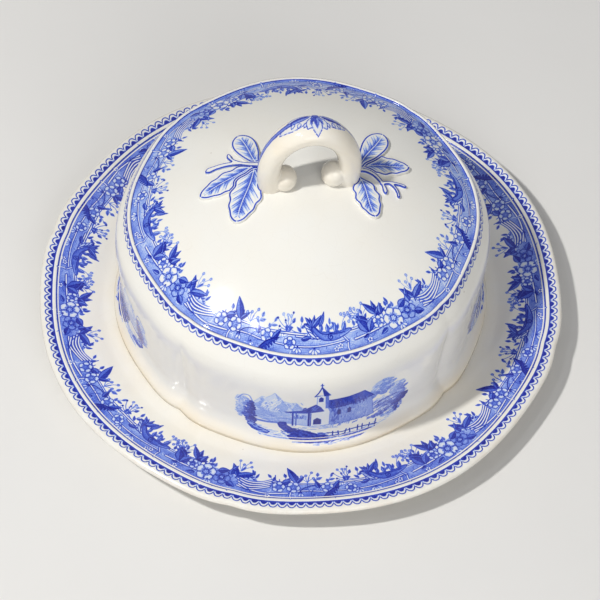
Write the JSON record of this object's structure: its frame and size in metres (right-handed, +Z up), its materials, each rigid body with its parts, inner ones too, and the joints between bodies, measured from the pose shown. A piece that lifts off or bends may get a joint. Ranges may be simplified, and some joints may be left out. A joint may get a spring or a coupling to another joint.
{
  "type": "butter dish",
  "caption": "Round earthenware butter dish: a lobed underplate and a lift-off domed cover with a panelled wall, an arched handle and applied leaf sprigs.",
  "frame": {"origin": "centre of the circle that the stand's foot ring rests on, on the surface it stands on", "axes": "+Z up; +X along the handle's span; -Y is the middle of the front wall panel"},
  "size_m": [0.199, 0.199, 0.111],
  "materials": {
    "stand_ware": "glossy clear glaze over warm white earthenware with blue printed border",
    "cover_ware": "glossy clear glaze over warm white earthenware with blue printed border and wall scenes",
    "handle_ware": "glossy clear glaze, slightly creamier where it pools",
    "sprig_ware": "glossy glaze over low relief picked out in blue"
  },
  "bodies": {
    "stand": {"stand": "stand_ware"},
    "cover": {"cover": "cover_ware", "handle_loop": "handle_ware", "handle_scroll_left": "handle_ware", "handle_scroll_right": "handle_ware", "twig_left": "sprig_ware", "twig_right": "sprig_ware", "leaf_lower_left": "sprig_ware", "leaf_outer_left": "sprig_ware", "leaf_upper_left": "sprig_ware", "leaf_lower_right": "sprig_ware", "leaf_outer_right": "sprig_ware", "leaf_upper_right": "sprig_ware"}
  },
  "joints": [
    {"name": "cover_lift", "type": "slide", "parent": "stand", "child": "cover", "axis": [0, 0, 1], "range_m": [0, 0.15]}
  ]
}
